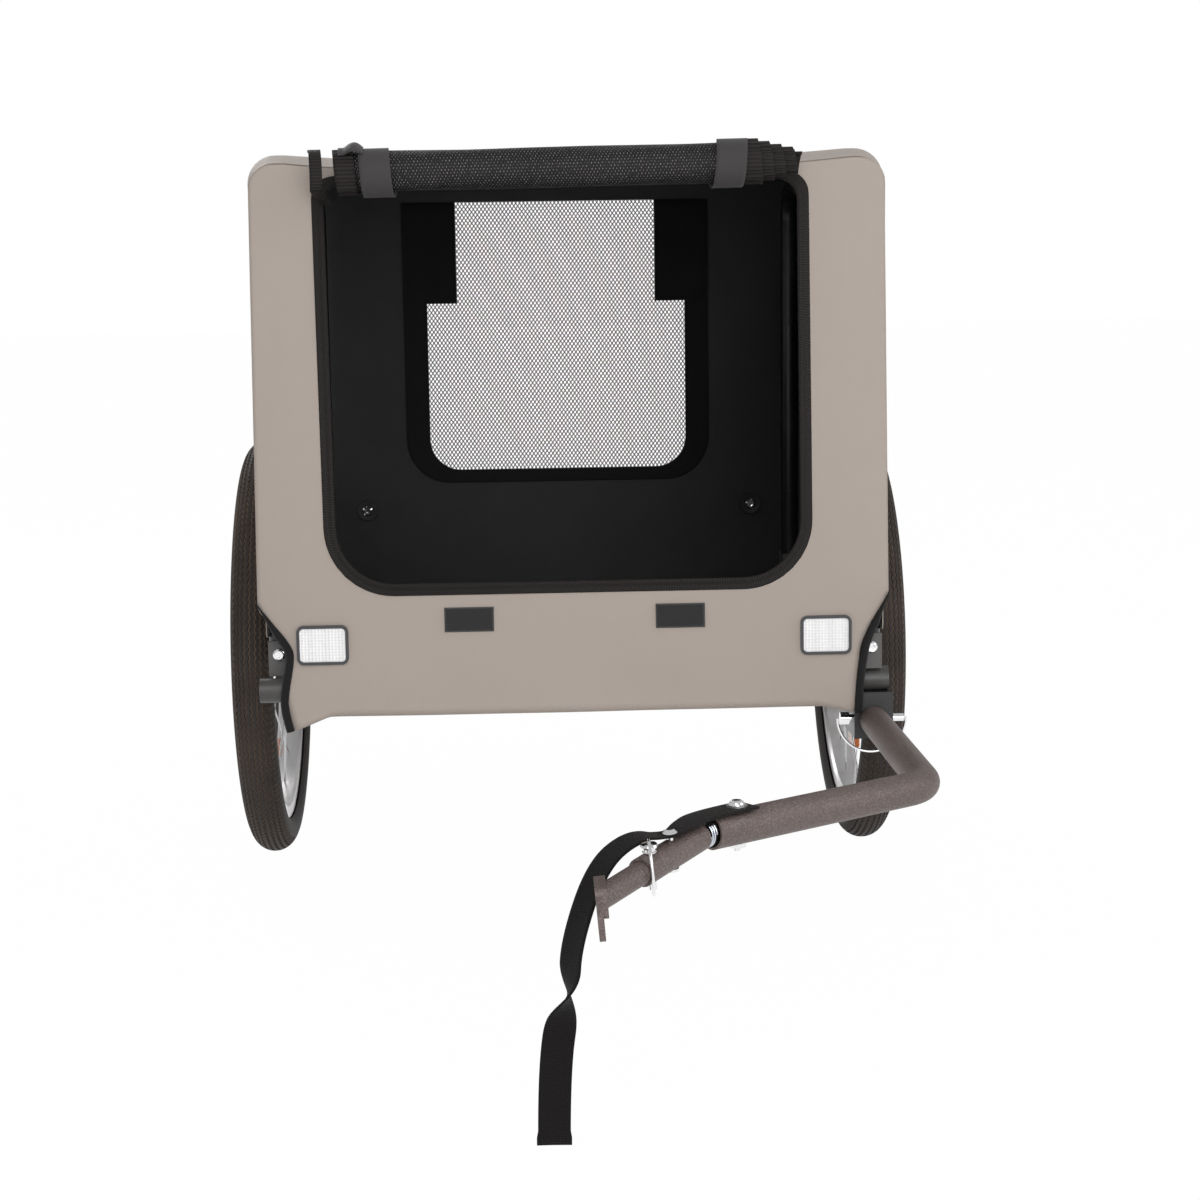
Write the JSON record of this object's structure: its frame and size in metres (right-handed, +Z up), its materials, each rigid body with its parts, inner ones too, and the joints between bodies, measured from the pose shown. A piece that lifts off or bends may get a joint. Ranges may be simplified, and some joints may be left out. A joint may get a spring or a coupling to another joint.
{
  "type": "dog bike trailer",
  "caption": "Two-wheeled bicycle trailer with a cloth cabin for a dog, folding side hoops, a rolled-up mesh front door and a bent tow arm with a sprung hitch.",
  "frame": {"origin": "on the ground, in the middle of the trailer's width and of its length from coupler to wheel", "axes": "+Z up, -Y towards the bicycle, +X to the right seen from the front"},
  "size_m": [0.773, 1.2859, 0.836],
  "materials": {
    "taupe_cloth": "smooth coated polyester",
    "black_cloth": "coated polyester",
    "black_mesh": "open net",
    "webbing": "woven webbing",
    "black_tube": "satin powder coat",
    "bracket_grey": "powder coat",
    "arm_hammertone": "hammertone powder coat",
    "chrome": "bright plated",
    "steel": "zinc plated",
    "rim_alloy": "satin",
    "tyre": "moulded tread",
    "rubber": "matt",
    "button_grey": "satin",
    "reflector_frame": "moulded",
    "white_lens": "ribbed prisms",
    "red_lens": "ribbed prisms",
    "amber_lens": "ribbed prisms",
    "floor_board": "covered board"
  },
  "bodies": {
    "base": {"arm_pin": "chrome", "arm_socket": "bracket_grey", "corner_brackets": "bracket_grey", "door_patches": "black_cloth", "door_roll": "black_mesh", "door_zip": "black_cloth", "flex_spring": "steel", "floor_panel": "floor_board", "front_cross_tube": "black_tube", "front_panel": "taupe_cloth", "front_reflector_frames": "reflector_frame", "front_reflector_lenses": "white_lens", "left_axle": "steel", "left_axle_bracket": "bracket_grey", "left_base_rail": "black_tube", "pivot_bolts": "chrome", "rear_cross_tube": "black_tube", "rear_mesh": "black_mesh", "rear_panel": "taupe_cloth", "rear_reflector_frames": "reflector_frame", "rear_reflector_lenses": "red_lens", "rear_screws": "chrome", "rear_washers": "rubber", "right_axle": "steel", "right_axle_bracket": "bracket_grey", "right_base_rail": "black_tube", "roll_straps": "webbing", "roof_panel": "taupe_cloth", "safety_strap": "webbing", "strap_bolt": "chrome", "tow_arm": "arm_hammertone", "window_binding": "black_cloth", "window_tabs": "black_cloth"},
    "left_side": {"left_hoop": "black_tube", "left_side_panel": "taupe_cloth", "left_side_mesh": "black_mesh"},
    "right_side": {"right_hoop": "black_tube", "right_side_panel": "taupe_cloth", "right_side_mesh": "black_mesh"},
    "left_wheel": {"left_tyre": "tyre", "left_rim": "rim_alloy", "left_spokes": "steel", "left_hub": "rim_alloy", "left_bearings": "steel", "left_wheel_reflector": "amber_lens"},
    "right_wheel": {"right_tyre": "tyre", "right_rim": "rim_alloy", "right_spokes": "steel", "right_hub": "rim_alloy", "right_bearings": "steel", "right_wheel_reflector": "amber_lens"},
    "left_button": {"left_axle_button": "button_grey"},
    "right_button": {"right_axle_button": "button_grey"},
    "arm_bail": {"arm_pin_bail": "chrome"},
    "hitch": {"swivel_tube": "arm_hammertone", "flex_core": "rubber", "coupler": "arm_hammertone", "hitch_pin": "chrome", "strap_rivet": "chrome"},
    "hitch_bail": {"hitch_pin_bail": "chrome"}
  },
  "joints": [
    {"name": "left_wheel_spin", "type": "hinge", "parent": "base", "child": "left_wheel", "pos_m": [-0.356, 0.39303, 0.25], "axis": [1, 0, 0], "continuous": true},
    {"name": "right_wheel_spin", "type": "hinge", "parent": "base", "child": "right_wheel", "pos_m": [0.356, 0.39303, 0.25], "axis": [1, 0, 0], "continuous": true},
    {"name": "left_fold", "type": "hinge", "parent": "base", "child": "left_side", "pos_m": [-0.303, 0.39303, 0.31], "axis": [0, 1, 0], "range_deg": [0, 88]},
    {"name": "right_fold", "type": "hinge", "parent": "base", "child": "right_side", "pos_m": [0.303, 0.39303, 0.31], "axis": [0, -1, 0], "range_deg": [0, 51.1]},
    {"name": "left_button_press", "type": "slide", "parent": "base", "child": "left_button", "axis": [1, 0, 0], "range_m": [0, 0.004], "stiffness_N_per_m": 400},
    {"name": "right_button_press", "type": "slide", "parent": "base", "child": "right_button", "axis": [-1, 0, 0], "range_m": [0, 0.004], "stiffness_N_per_m": 400},
    {"name": "arm_bail_swing", "type": "hinge", "parent": "base", "child": "arm_bail", "pos_m": [0.306, -0.04698, 0.233], "axis": [1, 0, 0], "range_deg": [-45, 45]},
    {"name": "hitch_flex", "type": "hinge", "parent": "base", "child": "hitch", "pos_m": [0.092, -0.50697, 0.233], "axis": [0, 0, 1], "range_deg": [-20, 20], "stiffness_Nm_per_rad": 12, "deforming": ["flex_spring", "safety_strap"]},
    {"name": "hitch_bail_swing", "type": "hinge", "parent": "hitch", "child": "hitch_bail", "pos_m": [0.04435, -0.56801, 0.22283], "axis": [-0.0802, -0.1027, 0.9915], "range_deg": [0, 90]}
  ],
  "couplings": [
    {"joint": "right_fold", "follows": "left_fold", "ratio": 0.58}
  ]
}
